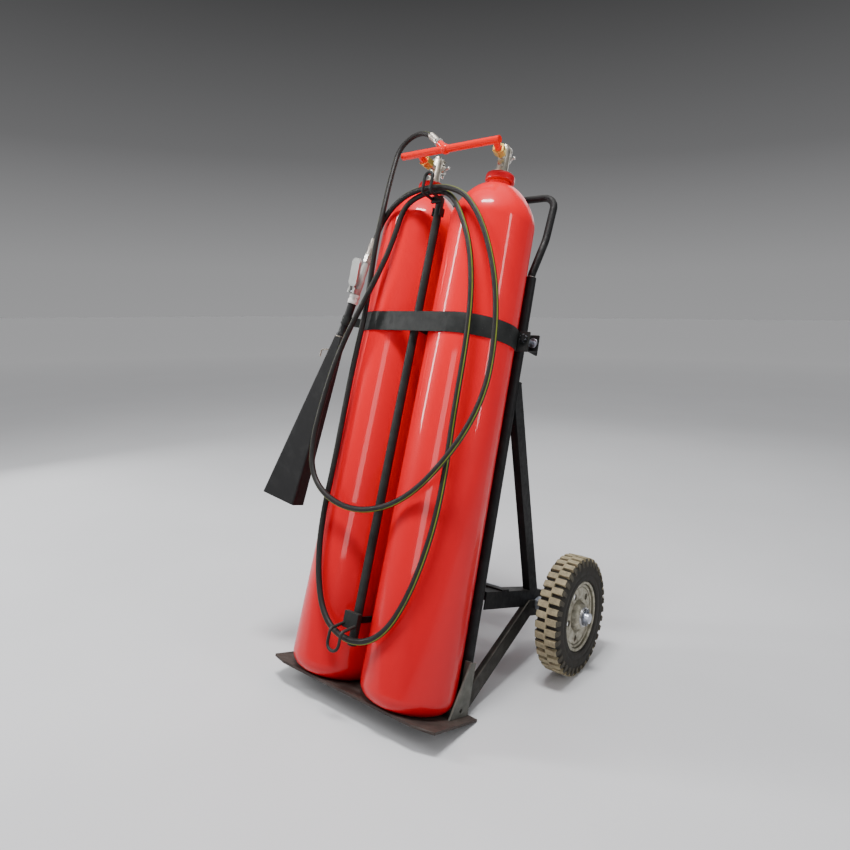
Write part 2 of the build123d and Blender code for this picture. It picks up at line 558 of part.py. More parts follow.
def write():
    """Lean everything back onto the ground, centre it, and write one STEP file for each node."""
    lean = Pos(0, 0, GROUND_DROP) * Rot(-LEAN, 0, 0)
    leaned = {name: [lean * solid for solid in solids] for name, solids in NODES.items()}
    box = Compound([s for name, solids in leaned.items() if name != "hose" for s in solids]).bounding_box()
    centre = Pos(0, -(box.min.Y + box.max.Y) / 2, 0)
    print(f"box {box.min} {box.max}, shift {-(box.min.Y + box.max.Y) / 2:.3f}, wheel height {WHEEL_Z:.3f}")
    os.makedirs("parts", exist_ok=True)
    for name, solids in leaned.items():
        placed = [centre * solid for solid in solids]
        export_step(placed[0] if len(placed) == 1 else Compound(placed), f"parts/{name}.step")


build()
write()
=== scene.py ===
import json
from math import atan2, cos, pi, radians, sin

import bmesh
import bpy
from mathutils import Matrix, Vector


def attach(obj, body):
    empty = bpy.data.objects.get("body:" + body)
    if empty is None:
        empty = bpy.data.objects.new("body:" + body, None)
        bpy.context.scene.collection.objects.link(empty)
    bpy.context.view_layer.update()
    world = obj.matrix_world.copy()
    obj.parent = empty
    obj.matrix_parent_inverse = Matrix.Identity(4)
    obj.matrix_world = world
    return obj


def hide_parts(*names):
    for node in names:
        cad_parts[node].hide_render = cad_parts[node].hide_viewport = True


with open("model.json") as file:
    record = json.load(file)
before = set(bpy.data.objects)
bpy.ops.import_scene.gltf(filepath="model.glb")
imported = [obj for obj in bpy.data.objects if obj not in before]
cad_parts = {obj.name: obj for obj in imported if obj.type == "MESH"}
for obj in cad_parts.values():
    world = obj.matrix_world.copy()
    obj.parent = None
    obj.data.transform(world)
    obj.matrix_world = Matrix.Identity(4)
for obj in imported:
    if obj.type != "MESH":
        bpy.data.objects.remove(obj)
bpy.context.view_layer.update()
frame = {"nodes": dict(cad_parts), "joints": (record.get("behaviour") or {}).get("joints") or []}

# ------------------------------------------------------------ the trolley's own upright frame, millimetres
# X to the right, Y backwards, Z up along the cylinders, zero on the toe plate midway between the cylinders.
# The whole trolley leans back from it onto the ground.

LEAN = radians(17.465)
WHEEL_CENTRE = Vector((314.2, 361.0, 230.328))
WHEEL_JOINT = Vector(next(j["pos_m"] for j in frame["joints"] if j["name"] == "wheel_right_roll"))
TURN = Matrix.Rotation(-LEAN, 4, "X")
TROLLEY = Matrix.Translation(WHEEL_JOINT - TURN @ (WHEEL_CENTRE * 0.001)) @ TURN @ Matrix.Scale(0.001, 4)

SIDES = {"left": -1, "right": 1}
CYLINDER_X = 112.4
RAIL_X, RAIL_Y = 201.0, 87.0

# The discharge valve's frame: Z up along the valve and its horn, zero at the throat of the horn.
GUN = TROLLEY @ Matrix.Translation((-239.0, -102.0, 812.0)) @ Matrix.Rotation(radians(10.2), 4, "Y")
LEVER_PIVOT = (-17.0, 0.0, 126.0)
LEVER_OPEN = radians(12.0)


def row(*p):
    """A point of the trolley's frame, in the row frame, metres."""
    return TROLLEY @ Vector(p)


# ------------------------------------------------------------ camera

CAMERA_AT = (1.0374, -1.3262, 0.9086)
AZIMUTH, PITCH, ROLL = radians(38.178), radians(2.530), radians(0.149)
FOCAL_LENGTH, SENSOR_WIDTH, SHIFT_Y = 27.99, 36.0, -0.10


def make_camera():
    forward = Vector((-sin(AZIMUTH) * cos(PITCH), cos(AZIMUTH) * cos(PITCH), -sin(PITCH)))
    level = Vector((cos(AZIMUTH), sin(AZIMUTH), 0))
    upright = level.cross(forward)
    right = level * cos(ROLL) + upright * sin(ROLL)
    up = upright * cos(ROLL) - level * sin(ROLL)
    turn = Matrix((right, up, -forward)).transposed().to_4x4()
    data = bpy.data.cameras.new("camera")
    data.sensor_width = SENSOR_WIDTH
    data.lens = FOCAL_LENGTH
    data.shift_y = SHIFT_Y
    camera = bpy.data.objects.new("camera", data)
    camera.matrix_world = Matrix.Translation(CAMERA_AT) @ turn
    bpy.context.scene.collection.objects.link(camera)
    bpy.context.scene.camera = camera


# ------------------------------------------------------------ materials

class Paint:
    """A procedural material on one Principled shader, with its patterns laid out in object space."""

    def __init__(self, name, **sockets):
        self.material = bpy.data.materials.new(name)
        self.material.use_nodes = True
        self.tree = self.material.node_tree
        self.shader = self.tree.nodes["Principled BSDF"]
        for key, value in sockets.items():
            self.shader.inputs[key.replace("_", " ")].default_value = value
        self.where = self.tree.nodes.new("ShaderNodeTexCoord").outputs["Object"]
        self.bump = None

    def node(self, kind, inputs=None, **settings):
        made = self.tree.nodes.new("ShaderNode" + kind)
        for key, value in settings.items():
            setattr(made, key, value)
        for key, value in (inputs or {}).items():
            if isinstance(value, bpy.types.NodeSocket):
                self.tree.links.new(value, made.inputs[key])
            else:
                made.inputs[key].default_value = value
        return made

    def stretched(self, turn, scale):
        """Object coordinates turned by `turn` (radians) and scaled, for grain that runs one way."""
        inputs = {"Vector": self.where, "Rotation": turn, "Scale": scale}
        return self.node("Mapping", inputs).outputs["Vector"]

    def noise(self, scale, detail=4.0, roughness=0.55, vector=None):
        inputs = {"Vector": vector or self.where, "Scale": scale, "Detail": detail, "Roughness": roughness}
        return self.node("TexNoise", inputs).outputs["Fac"]

    def remap(self, value, low, high, out_low=0.0, out_high=1.0):
        inputs = {"Value": value, "From Min": low, "From Max": high, "To Min": out_low, "To Max": out_high}
        return self.node("MapRange", inputs).outputs["Result"]

    def math(self, operation, a, b):
        return self.node("Math", {0: a, 1: b}, operation=operation, use_clamp=True).outputs[0]

    def mix(self, factor, a, b):
        made = self.node("Mix", {"Factor": factor}, data_type="RGBA")
        for socket, value in ((made.inputs[6], a), (made.inputs[7], b)):
            if isinstance(value, bpy.types.NodeSocket):
                self.tree.links.new(value, socket)
            else:
                socket.default_value = (*value, 1.0)
        return made.outputs[2]

    def facing_up(self):
        """One on faces that look up at the sky, nought on the others."""
        normal = self.node("NewGeometry").outputs["Normal"]
        up = self.node("SeparateXYZ", {0: normal}).outputs["Z"]
        return self.remap(up, 0.3, 0.95)

    def colour(self, value):
        self.tree.links.new(value, self.shader.inputs["Base Color"])

    def rough(self, value):
        self.tree.links.new(value, self.shader.inputs["Roughness"])

    def raise_by(self, height, distance, strength):
        """Adds a bump of this height in metres on top of those before it."""
        inputs = {"Height": height, "Distance": distance, "Strength": strength}
        if self.bump is not None:
            inputs["Normal"] = self.bump
        self.bump = self.node("Bump", inputs).outputs["Normal"]
        self.tree.links.new(self.bump, self.shader.inputs["Normal"])


def gloss_red(name, tone, shaded_bottom_tone):
    """Stoved gloss enamel, with painted shade that darkens it towards the ground, faint orange peel and
    fine dust specks.
    """
    p = Paint(name, Coat_Weight=0.4, Coat_Roughness=0.05, IOR=1.5, Specular_IOR_Level=0.1)
    slow = p.remap(p.noise(5.0, 3.0), 0.35, 0.65)
    height = p.node("SeparateXYZ", {0: p.where}).outputs["Z"]
    # Painted shade: the enamel is mixed towards a darker red the nearer it is to the ground.
    low = p.remap(height, 0.15, 0.85, 0.85, 0.0)
    base = p.mix(p.math("MULTIPLY", slow, 0.35), tone, tuple(0.86 * c for c in tone))
    base = p.mix(low, base, shaded_bottom_tone)
    specks = p.remap(p.noise(900.0, 2.0, 0.7), 0.72, 0.78)
    p.colour(p.mix(p.math("MULTIPLY", specks, 0.2), base, (0.75, 0.30, 0.25)))
    p.rough(p.remap(p.noise(60.0), 0.3, 0.7, 0.32, 0.42))
    p.raise_by(p.noise(260.0, 2.0), 0.00005, 0.35)
    return p.material


def black_paint(name, tone, rough=0.52, dust=0.12):
    """Sprayed black over steel: faint texture, dusty on top, rubbed to a lighter grey in patches."""
    p = Paint(name, IOR=1.5, Specular_IOR_Level=0.22)
    cloud = p.remap(p.noise(35.0, 6.0, 0.6), 0.4, 0.68)
    base = p.mix(p.math("MULTIPLY", cloud, 0.5), tone, tuple(2.0 * c + 0.006 for c in tone))
    chips = p.remap(p.noise(210.0, 5.0, 0.65), 0.665, 0.7)
    base = p.mix(p.math("MULTIPLY", chips, 0.5), base, (0.11, 0.10, 0.09))
    grime = p.math("MULTIPLY", p.facing_up(), p.remap(p.noise(18.0, 5.0), 0.35, 0.7, 0.2, 1.0))
    p.colour(p.mix(p.math("MULTIPLY", grime, dust), base, (0.27, 0.25, 0.22)))
    p.rough(p.remap(p.noise(80.0, 5.0), 0.3, 0.7, rough - 0.08, rough + 0.14))
    p.raise_by(p.noise(420.0, 3.0), 0.00012, 0.6)
    return p.material


def plate_paint(name, tone, worn):
    """Worn floor-plate paint: scuffed along its length, browned, with bare scratches."""
    p = Paint(name, IOR=1.48, Specular_IOR_Level=0.25)
    cloud = p.remap(p.noise(14.0, 7.0, 0.65), 0.35, 0.65)
    base = p.mix(cloud, tone, worn)
    lines = p.noise(22.0, 5.0, 0.7, p.stretched((0.3, 0.0, 0.5), (1.0, 30.0, 6.0)))
    scratch = p.remap(lines, 0.66, 0.7)
    base = p.mix(p.math("MULTIPLY", scratch, 0.4), base, (0.20, 0.18, 0.16))
    grime = p.math("MULTIPLY", p.facing_up(), p.remap(p.noise(30.0, 6.0), 0.35, 0.7))
    p.colour(p.mix(p.math("MULTIPLY", grime, 0.3), base, (0.13, 0.105, 0.09)))
    p.rough(p.remap(p.noise(50.0, 6.0), 0.3, 0.7, 0.45, 0.72))
    p.raise_by(p.noise(160.0, 6.0, 0.65), 0.0003, 0.6)
    return p.material


def bare_metal(name, tone, dark, rough, stain=0.5):
    """Plated or machined metal: fine grain, stains that dull it, and pits."""
    p = Paint(name, Metallic=1.0)
    stains = p.remap(p.noise(70.0, 6.0, 0.6), 0.42, 0.68)
    grain = p.noise(120.0, 4.0, 0.7)
    base = p.mix(p.math("MULTIPLY", stains, stain), tone, dark)
    lines = p.math("MULTIPLY", p.remap(grain, 0.35, 0.7), 0.35)
    p.colour(p.mix(lines, base, tuple(0.75 * c for c in tone)))
    dull = p.math("MULTIPLY", stains, 0.15)
    p.rough(p.math("ADD", p.remap(grain, 0.3, 0.7, rough - 0.06, rough + 0.1), dull))
    p.raise_by(grain, 0.00006, 0.5)
    p.raise_by(p.noise(700.0, 2.0), 0.00004, 0.5)
    return p.material


def moulded(name, tone, rough, grain_scale, grain, marks, amount):
    """Moulded plastic, coating or rubber: fine grain, and scuffs of another tone."""
    p = Paint(name, IOR=1.47, Specular_IOR_Level=0.3)
    scuffs = p.remap(p.noise(26.0, 7.0, 0.7, p.stretched((0.4, 0.2, 0.1), (1.0, 2.5, 0.7))), 0.5, 0.72)
    p.colour(p.mix(p.math("MULTIPLY", scuffs, amount), tone, marks))
    p.rough(p.remap(p.noise(55.0, 5.0), 0.3, 0.7, rough - 0.07, rough + 0.1))
    p.raise_by(p.noise(grain_scale, 3.0, 0.6), grain, 0.8)
    return p.material


def tyre_rubber(name, tone, dust_tone, dusty):
    """Tyre rubber with dry dust rubbed into it."""
    p = Paint(name, IOR=1.5, Specular_IOR_Level=0.2)
    dust = p.remap(p.noise(45.0, 7.0, 0.7), 0.38, 0.62, dusty * 0.55, dusty)
    speckle = p.remap(p.noise(420.0, 4.0, 0.7), 0.4, 0.6, 0.75, 1.0)
    p.colour(p.mix(p.math("MULTIPLY", dust, speckle), tone, dust_tone))
    p.rough(p.remap(p.noise(90.0), 0.3, 0.7, 0.68, 0.9))
    p.raise_by(p.noise(330.0, 5.0, 0.7), 0.00025, 0.7)
    return p.material


MAT = {
    # The second tone of each enamel is the painted shade that it darkens to near the ground.
    "red": gloss_red("red_enamel", (0.86, 0.001, 0.012), (0.52, 0.001, 0.008)),
    "red_deep": gloss_red("red_enamel_deep", (0.52, 0.001, 0.010), (0.46, 0.001, 0.008)),
    "red_pipe": gloss_red("red_enamel_pipe", (0.86, 0.006, 0.001), (0.74, 0.003, 0.001)),
    "black": black_paint("black_frame_paint", (0.006, 0.006, 0.0065)),
    "black_satin": black_paint("black_strap_paint", (0.013, 0.014, 0.0135), 0.5, 0.1),
    "grey": black_paint("grey_brace_paint", (0.022, 0.020, 0.017), 0.55, 0.3),
    "gusset": black_paint("gusset_paint", (0.085, 0.085, 0.074), 0.55, 0.15),
    "plate": plate_paint("toe_plate_paint", (0.032, 0.024, 0.021), (0.052, 0.038, 0.033)),
    "zinc": bare_metal("zinc_plating", (0.50, 0.53, 0.60), (0.22, 0.21, 0.20), 0.32),
    "bearing": bare_metal("bearing_steel", (0.22, 0.23, 0.25), (0.08, 0.075, 0.07), 0.34),
    "rim": bare_metal("rim_finish", (0.44, 0.42, 0.34), (0.17, 0.15, 0.11), 0.5, 0.8),
    "hub": bare_metal("hub_steel", (0.58, 0.58, 0.58), (0.26, 0.24, 0.21), 0.28, 0.4),
    "dip": bare_metal("dip_tube_metal", (0.7, 0.7, 0.72), (0.4, 0.4, 0.4), 0.3),
    "valve": bare_metal("valve_casting", (0.66, 0.62, 0.53), (0.34, 0.28, 0.20), 0.36, 0.55),
    "bright": bare_metal("nickel_plating", (0.72, 0.70, 0.66), (0.34, 0.30, 0.24), 0.22, 0.35),
    "brass": bare_metal("brass", (0.90, 0.66, 0.16), (0.50, 0.32, 0.06), 0.3),
    "ferrule": bare_metal("ferrule_steel", (0.50, 0.45, 0.40), (0.24, 0.20, 0.17), 0.4),
    "worn": bare_metal("worn_steel", (0.60, 0.58, 0.54), (0.20, 0.17, 0.14), 0.34, 0.6),
    "wire": bare_metal("wire_steel", (0.30, 0.27, 0.23), (0.12, 0.10, 0.08), 0.45),
    "horn": moulded("horn_plastic", (0.008, 0.008, 0.0085), 0.56, 700.0, 0.00012,
                    (0.028, 0.028, 0.028), 0.45),
    "neck": moulded("neck_plastic", (0.009, 0.009, 0.0095), 0.5, 900.0, 0.00006,
                    (0.032, 0.032, 0.032), 0.4),
    "collar": moulded("collar_plastic", (0.70, 0.69, 0.66), 0.42, 800.0, 0.00005,
                      (0.46, 0.44, 0.40), 0.5),
    "grip": moulded("grip_coating", (0.40, 0.41, 0.39), 0.44, 600.0, 0.00008,
                    (0.24, 0.24, 0.22), 0.5),
    "grip_edge": moulded("grip_red_edge", (0.50, 0.015, 0.02), 0.45, 800.0, 0.00004,
                         (0.3, 0.08, 0.08), 0.3),
    "hose": moulded("hose_rubber", (0.010, 0.0085, 0.008), 0.5, 1400.0, 0.00010,
                    (0.030, 0.027, 0.025), 0.4),
    "stripe": moulded("hose_stripe", (0.17, 0.21, 0.014), 0.5, 1400.0, 0.00006,
                      (0.04, 0.05, 0.015), 0.8),
    "tread": tyre_rubber("tyre_tread", (0.05, 0.045, 0.03), (0.48, 0.41, 0.26), 0.85),
    "lug": tyre_rubber("tyre_lug", (0.016, 0.016, 0.016), (0.16, 0.14, 0.10), 0.45),
    "carcass": tyre_rubber("tyre_sidewall", (0.013, 0.013, 0.0135), (0.085, 0.075, 0.058), 0.35),
}

NODE_LOOKS = {
    "toe_plate": "plate", "side_gussets": "gusset", "rail_left": "black", "rail_right": "black",
    "push_handle": "black", "side_strut_left": "black", "side_strut_right": "black",
    "rear_brace_left": "black", "rear_brace_right": "black", "lower_brace_left": "grey",
    "lower_brace_right": "grey", "brace_brackets": "black", "axle_plates": "grey",
    "cross_member": "black", "saddle_bars": "black", "tie_plates": "black", "hose_bar": "black_satin",
    "bar_clips": "black_satin", "hook_blocks": "black_satin", "bottom_hook": "black_satin",
    "top_hook": "black_satin", "clamp_strap": "black_satin", "strap_lugs": "black",
    "horn_holder": "black_satin", "axle": "zinc", "axle_spacers": "zinc", "axle_retainers": "bearing",
    "strap_fasteners": "zinc", "lever_pin": "zinc", "discharge_plunger": "zinc",
    "bearings_left": "bearing", "bearings_right": "bearing", "rim_left": "rim", "rim_right": "rim",
    "hub_left": "hub", "hub_right": "hub", "cylinder_left": "red", "cylinder_right": "red",
    "neck_rings": "red_deep", "manifold": "red_pipe", "dip_tubes": "dip", "valve_body_left": "valve",
    "valve_body_right": "valve", "valve_yokes": "bright", "valve_knob_left": "bright",
    "valve_knob_right": "bright", "burst_plugs": "bright", "hose_unions": "bright",
    "union_nuts": "brass", "hose_ferrules": "ferrule", "hose": "hose", "horn": "horn",
    "horn_neck": "neck", "neck_collar": "collar", "discharge_body": "grip", "discharge_lever": "grip",
    "horn_wire_hook": "wire", "tyre_left": "carcass", "tyre_right": "carcass",
}

# Width in millimetres of the rounding that a CAD node's sharp edges get.
ROUNDED = {
    "toe_plate": 1.0, "side_gussets": 0.8, "side_strut_left": 0.8, "side_strut_right": 0.8,
    "axle_plates": 0.8, "cross_member": 0.8, "brace_brackets": 0.6, "hook_blocks": 1.2, "bar_clips": 0.4,
    "clamp_strap": 0.5, "strap_lugs": 0.7, "strap_fasteners": 0.5, "union_nuts": 0.8, "hose_unions": 0.6,
    "burst_plugs": 0.5, "valve_yokes": 0.8, "valve_body_left": 0.6, "valve_body_right": 0.6,
    "discharge_body": 0.5, "axle": 0.8, "axle_retainers": 0.4, "hub_left": 0.6, "hub_right": 0.6,
}


def round_edges(obj, name, width, angle):
    """Bevel modifier on edges sharper than the angle in degrees, width in metres."""
    bevel = obj.modifiers.new(name, "BEVEL")
    bevel.width = width
    bevel.segments = 2
    bevel.limit_method = "ANGLE"
    bevel.angle_limit = radians(angle)


def dress(obj, material):
    """Gives a CAD node its material, and eases its sharp edges where they would catch the light."""
    mesh = obj.data
    mesh.materials.clear()
    mesh.materials.append(MAT[material])
    mesh.polygons.foreach_set("material_index", [0] * len(mesh.polygons))
    mesh.update()
    if obj.name in ROUNDED:
        obj.modifiers.new("weld", "WELD").merge_threshold = 0.00001
        round_edges(obj, "ease", 0.001 * ROUNDED[obj.name], 40)


for node, look in NODE_LOOKS.items():
    dress(frame["nodes"][node], look)


# ------------------------------------------------------------ making pieces

def piece(name, mesh, material, body="trolley", replaces=(), bevel=0.0):
    """Links a mesh as a piece that rides on a CAD body."""
    obj = bpy.data.objects.new(name, mesh)
    bpy.context.scene.collection.objects.link(obj)
    mesh.materials.append(MAT[material])
    if bevel:
        round_edges(obj, "bevel", bevel, 32)
    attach(obj, body)
    if replaces:
        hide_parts(*replaces)
    return obj


def smooth(mesh, angle):
    """Smooth shading, with edges sharper than the angle in degrees kept sharp."""
    mesh.polygons.foreach_set("use_smooth", [True] * len(mesh.polygons))
    mesh.set_sharp_from_angle(angle=radians(angle))
    mesh.update()
    return mesh


def as_mesh(name, bm):
    mesh = bpy.data.meshes.new(name)
    bm.to_mesh(mesh)
    bm.free()
    return mesh


def bridge(bm, here, there):
    """Faces between two closed rings of as many corners."""
    for i in range(len(here)):
        j = (i + 1) % len(here)
        bm.faces.new((here[i], there[i], there[j], here[j]))


def lathe(name, profile, segments, matrix, angle):
    """Mesh turned about Z from a closed outline of (radius, height) points, placed by matrix."""
    bm = bmesh.new()
    rings = []
    for k in range(segments):
        a = 2 * pi * k / segments
        rings.append([bm.verts.new((r * cos(a), r * sin(a), z)) for r, z in profile])
    on_axis = [r < 1e-6 for r, z in profile]
    for here, there in zip(rings, rings[1:] + rings[:1]):
        for i in range(len(profile)):
            j = (i + 1) % len(profile)
            if on_axis[i] and on_axis[j]:
                continue
            if on_axis[i]:
                corners = (here[i], there[j], here[j])
            elif on_axis[j]:
                corners = (here[i], there[i], here[j])
            else:
                corners = (here[i], there[i], there[j], here[j])
            bm.faces.new(corners)
    bmesh.ops.remove_doubles(bm, verts=bm.verts, dist=1e-5)
    bmesh.ops.recalc_face_normals(bm, faces=bm.faces)
    bm.transform(matrix)
    return smooth(as_mesh(name, bm), angle)


def turned(name, profile, segments, matrix, material, body="trolley", replaces=(),
           angle=38.0):
    """A lathed piece; edges sharper than the angle stay sharp."""
    return piece(name, lathe(name, profile, segments, matrix, angle), material, body, replaces)


def along(start, end):
    """Matrix whose Z runs from start to end, both in the row frame, scaled from millimetres."""
    aim = (end - start).normalized().to_track_quat("Z", "Y").to_matrix().to_4x4()
    return Matrix.Translation(start) @ aim @ Matrix.Scale(0.001, 4)


# ------------------------------------------------------------ hose

# From the manifold's branch down the left, under the bottom hook, up the right, over the top hook, round
# the smaller loop in front, over the top hook again and down to the discharge valve.
HOSE_POINTS = [
    (-152, -82, 1406), (-185, -88, 1366), (-180, -99, 1304), (-168, -115, 1226), (-154, -130, 1150),
    (-153, -133, 1062), (-148, -128, 962), (-145, -124, 862), (-150, -122, 745), (-148, -121, 610),
    (-144, -121, 490), (-145, -121, 382), (-137, -121, 292), (-116, -121, 217), (-86, -122, 160),
    (-44, -123, 124), (14, -125, 112), (70, -124, 123), (117, -122, 163), (151, -122, 231),
    (174, -122, 310), (189, -121, 405), (192, -121, 520), (186, -121, 640), (186, -122, 760),
    (182, -123, 870), (166, -123, 972), (136, -121, 1066), (95, -120, 1138), (60, -117, 1184),
    (20, -115, 1203), (-26, -115, 1203), (-67, -117, 1188), (-92, -122, 1158), (-96, -127, 1085),
    (-109, -135, 1000), (-139, -145, 895), (-168, -149, 812), (-192, -149, 718), (-206, -147, 612),
    (-211, -145, 525), (-190, -145, 452), (-130, -145, 405), (-45, -135, 386), (42, -127, 406),
    (118, -128, 453), (189, -142, 523), (236, -134, 607), (256, -118, 700), (253, -110, 795),
    (243, -110, 886), (221, -115, 983), (174, -121, 1094), (120, -129, 1169), (70, -132, 1196),
    (22, -133, 1206), (-29, -133, 1206), (-85, -130, 1195), (-141, -118, 1166)]
HOSE_RADIUS = 0.007
BRANCH_RISE = radians(40.0)
SUPPLY_CRIMPS, GUN_CRIMPS = (54.5, 61.5, 68.5), (256, 265, 274)

# The coloured line along the hose: its corners (angle in radians from its middle, radius in millimetres),
# and a place on the loop with the way that it faces there, to the right and forwards.
STRIPE_SECTION = ((-0.22, 6.9), (-0.17, 7.1), (0.17, 7.1), (0.22, 6.9))
STRIPE_SEEN_AT, STRIPE_FACES = (256, -118, 700), (0.86, -0.5, 0.0)
STRIPE_STEP = 0.004


def branch_point(distance):
    """Point on the axis of the manifold's branch, row frame."""
    return row(-24.0 - distance * cos(BRANCH_RISE), -80.0, 1346.0 + distance * sin(BRANCH_RISE))


def hose():
    """The hose as one bevelled curve, and the points of its centre line."""
    points = [branch_point(50), branch_point(100)] + [row(*p) for p in HOSE_POINTS]
    points += [GUN @ Vector((0, 0, 312)), GUN @ Vector((0, 0, 250))]
    curve = bpy.data.curves.new("hose_line", "CURVE")
    curve.dimensions = "3D"
    spline = curve.splines.new("NURBS")
    spline.points.add(len(points) - 1)
    for place, p in zip(spline.points, points):
        place.co = (*p, 1.0)
    spline.order_u = 3
    spline.use_endpoint_u = True
    spline.resolution_u = 12
    line = bpy.data.objects.new("hose_line", curve)
    bpy.context.scene.collection.objects.link(line)
    bpy.context.view_layer.update()
    sampled = bpy.data.meshes.new_from_object(line)
    track = [v.co.copy() for v in sampled.vertices]
    bpy.data.meshes.remove(sampled)
    curve.bevel_depth = HOSE_RADIUS
    curve.bevel_resolution = 5
    curve.use_fill_caps = True
    curve.materials.append(MAT["hose"])
    line.name = "discharge_hose"
    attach(line, "trolley")
    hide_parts("hose")
    return line, track


def untwisted(tangents):
    """A direction across each tangent, carried along them without twist."""
    out = tangents[0].orthogonal().normalized()
    outs = [out]
    for a, b in zip(tangents, tangents[1:]):
        out = a.rotation_difference(b) @ out
        out = (out - b * out.dot(b)).normalized()
        outs.append(out)
    return outs


def stripe(track):
    """Coloured line moulded along the hose."""
    points = [track[0]]
    for p in track[1:]:
        if (p - points[-1]).length > STRIPE_STEP:
            points.append(p)
    tangents = [(b - a).normalized() for a, b in zip(points, points[1:])]
    tangents.append(tangents[-1])
    outs = untwisted(tangents)
    seen = min(range(len(points)), key=lambda k: (points[k] - row(*STRIPE_SEEN_AT)).length)
    wanted = Vector(STRIPE_FACES)
    wanted = (wanted - tangents[seen] * wanted.dot(tangents[seen])).normalized()
    angle = atan2(outs[seen].cross(wanted).dot(tangents[seen]), outs[seen].dot(wanted))
    bm = bmesh.new()
    rings = []
    for p, t, out in zip(points, tangents, outs):
        middle = Matrix.Rotation(angle, 3, t) @ out
        rings.append([bm.verts.new(p + Matrix.Rotation(spread, 3, t) @ middle * (0.001 * radius))
                      for spread, radius in STRIPE_SECTION])
    for here, there in zip(rings, rings[1:]):
        bridge(bm, here, there)
    bm.faces.new(rings[0])
    bm.faces.new(rings[-1][::-1])
    bmesh.ops.recalc_face_normals(bm, faces=bm.faces)
    return piece("hose_stripe", smooth(as_mesh("hose_stripe", bm), 30.0), "stripe")


def crimps(name, matrix, places):
    """Raised bands round a hose ferrule, at these heights in its frame."""
    made = []
    for k, z in enumerate(places):
        band = [(9.2, z - 2.2), (9.75, z - 2.2), (10.05, z - 1.3), (10.05, z + 1.3), (9.75, z + 2.2),
                (9.2, z + 2.2)]
        made.append(turned(f"{name}_{k + 1}", band, 40, matrix, "ferrule"))
    return made


# ------------------------------------------------------------ wheels
# Outlines are (radius, distance along the axle from the wheel's middle). A row of blocks is (how many,
# where the first is as a share of their pitch, filled share of the pitch, steps round each block, inner and
# outer radius at one side and at the other, those two sides).

SIDEWALL = [(82, 22), (85.6, 25.8), (88, 30.2), (94, 31.0), (99, 31.2), (100.5, 30.4), (104, 30.4),
            (105.5, 31.2), (112, 31.2), (121, 30.2), (128, 28.6), (133, 25.5), (135.5, 20), (136, 14)]
CARCASS = [(r, -z) for r, z in SIDEWALL] + SIDEWALL[::-1]
TREAD = [(36, 0.0, 0.62, 3, ((133, 142.6), (133, 143.4)), (-26.5, 1.5)),
         (36, 0.5, 0.62, 3, ((133, 143.4), (133, 142.6)), (-1.5, 26.5))]
LUGS = [(36, 0.0, 0.5, 2, ((121, 133), (129, 141.8)), (-31.3, -26.0)),
        (36, 0.5, 0.5, 2, ((129, 141.8), (121, 133)), (26.0, 31.3))]
BLOCK_BEVEL = 0.0012
RIM_BEAD = [(70, 19.4), (72, 20.6), (75.5, 20.6), (77.5, 19.0), (77.5, 12.0), (70, 15.5)]
HUB_BOSS = [(24.2, 13.0), (37.0, 13.0), (35.5, 20.0), (32.0, 27.0), (28.0, 31.8), (24.2, 33.2)]
HUB_LIP = [(20.2, 35.7), (23.6, 35.7), (22.8, 37.2), (20.8, 37.2)]


def block(bm, a0, a1, steps, radii, sides):
    """A block between two angles about Z, of these radii at its two sides."""
    (low0, high0), (low1, high1) = radii
    z0, z1 = sides
    rings = []
    for k in range(steps + 1):
        a = a0 + (a1 - a0) * k / steps
        rings.append([bm.verts.new((r * cos(a), r * sin(a), z)) for r, z in
                      ((low0, z0), (low1, z1), (high1, z1), (high0, z0))])
    for here, there in zip(rings, rings[1:]):
        bridge(bm, here, there)
    bm.faces.new(rings[0][::-1])
    bm.faces.new(rings[-1])


def blocks(name, rows, matrix):
    """Mesh of rows of blocks round the wheel."""
    bm = bmesh.new()
    for count, first, share, steps, radii, sides in rows:
        pitch = 2 * pi / count
        for k in range(count):
            a = (k + first) * pitch
            block(bm, a - pitch * share / 2, a + pitch * share / 2, steps, radii, sides)
    bmesh.ops.recalc_face_normals(bm, faces=bm.faces)
    bm.transform(matrix)
    return as_mesh(name, bm)


def wheel(side, sign):
    """Carcass, two staggered rows of tread blocks, shoulder lugs, and the rings of the rim and hub."""
    place = (TROLLEY @ Matrix.Translation((sign * WHEEL_CENTRE.x, WHEEL_CENTRE.y, WHEEL_CENTRE.z))
             @ Matrix.Rotation(sign * pi / 2, 4, "Y"))
    body = f"wheel_{side}"
    turned(f"carcass_{side}", CARCASS, 120, place, "carcass", body, [f"tyre_{side}"])
    for name, rows, material in ((f"tread_{side}", TREAD, "tread"), (f"lugs_{side}", LUGS, "lug")):
        piece(name, blocks(name, rows, place), material, body, bevel=BLOCK_BEVEL)
    turned(f"rim_bead_{side}", RIM_BEAD, 96, place, "rim", body)
    turned(f"hub_boss_{side}", HUB_BOSS, 72, place, "rim", body, angle=60.0)
    turned(f"hub_lip_{side}", HUB_LIP, 64, place, "hub", body)


# ------------------------------------------------------------ small pieces
# Outlines are (radius, height) in the frame that each piece is placed by.

